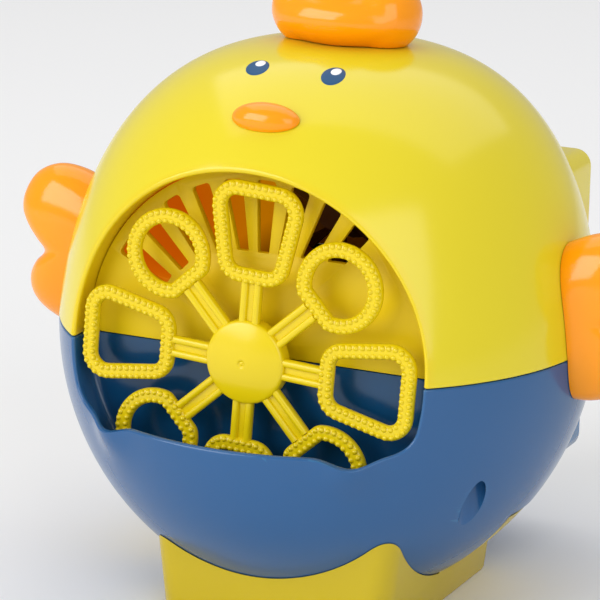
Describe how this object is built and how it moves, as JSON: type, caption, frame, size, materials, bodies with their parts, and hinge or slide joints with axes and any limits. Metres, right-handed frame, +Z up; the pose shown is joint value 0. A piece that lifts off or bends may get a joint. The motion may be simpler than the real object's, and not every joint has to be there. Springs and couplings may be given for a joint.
{
  "type": "bubble machine",
  "caption": "Ball-shaped chick bubble machine: yellow dome over a blue solution tank, a turning wheel of bubble wands in a round front recess, blower, orange wings, comb and beak.",
  "frame": {"origin": "on the ground under the middle of the object's bounding box", "axes": "+X across the object from wing to wing, -Y out of the bubble mouth, +Z up"},
  "size_m": [0.2366, 0.1856, 0.217],
  "materials": {
    "yellow_plastic": "glossy injection-moulded yellow ABS",
    "wheel_plastic": "satin-gloss yellow polypropylene",
    "blue_plastic": "glossy injection-moulded blue ABS",
    "orange_plastic": "glossy orange ABS",
    "eye_print": "blue pad print with a white glint",
    "white_plastic": "natural acetal and ABS, hidden inside",
    "black_plastic": "fine-grained black ABS",
    "steel": "zinc-plated steel",
    "brass": "machined brass",
    "motor_can": null,
    "cell": null,
    "board": "green solder-masked board"
  },
  "bodies": {
    "body": {"upper_shell": "yellow_plastic", "lower_shell": "blue_plastic", "base": "yellow_plastic", "grille_panel": "yellow_plastic", "axle_bush": "white_plastic", "idler_pin": "steel", "gearbox_housing": "white_plastic", "gearbox_cover": "white_plastic", "wheel_motor": "motor_can", "fan_duct": "yellow_plastic", "fan_motor": "motor_can", "fan_motor_bracket": "white_plastic", "beak": "orange_plastic", "eye_left": "eye_print", "eye_right": "eye_print", "comb": "orange_plastic", "wing_left": "orange_plastic", "wing_right": "orange_plastic", "battery_tray": "black_plastic", "aa_cell_1": "cell", "aa_cell_2": "cell", "aa_cell_3": "cell", "aa_cell_4": "cell", "contact_strip_upper": "steel", "contact_strip_lower": "steel", "switch_body": "black_plastic", "circuit_board": "board", "shell_screw_1": "steel", "shell_screw_2": "steel", "shell_screw_3": "steel", "shell_screw_4": "steel"},
    "wheel": {"wand_wheel": "wheel_plastic", "wheel_axle": "steel", "wheel_gear": "white_plastic"},
    "idler": {"idler_gear": "white_plastic"},
    "pinion": {"motor_pinion": "brass"},
    "fan": {"fan_impeller": "white_plastic"},
    "door": {"battery_door": "blue_plastic", "door_screw": "steel"},
    "switch": {"switch_slider": "black_plastic"}
  },
  "joints": [
    {"name": "wheel_spin", "type": "hinge", "parent": "body", "child": "wheel", "pos_m": [0, -0.06762, 0.0935], "axis": [0, 1, 0], "continuous": true},
    {"name": "idler_spin", "type": "hinge", "parent": "body", "child": "idler", "pos_m": [-0.01527, -0.04992, 0.07823], "axis": [0, 1, 0], "continuous": true},
    {"name": "pinion_spin", "type": "hinge", "parent": "body", "child": "pinion", "pos_m": [-0.02291, -0.04992, 0.07059], "axis": [0, 1, 0], "continuous": true},
    {"name": "fan_spin", "type": "hinge", "parent": "body", "child": "fan", "pos_m": [0, 0.00308, 0.1295], "axis": [0, 1, 0], "continuous": true},
    {"name": "door_hinge", "type": "hinge", "parent": "body", "child": "door", "pos_m": [0, 0.08983, 0.03425], "axis": [-1, 0, 0], "range_deg": [0, 90]},
    {"name": "switch_slide", "type": "slide", "parent": "body", "child": "switch", "axis": [1, 0, 0], "range_m": [0, 0.004]}
  ],
  "couplings": [
    {"joint": "idler_spin", "follows": "wheel_spin", "ratio": -2},
    {"joint": "pinion_spin", "follows": "wheel_spin", "ratio": 4}
  ]
}
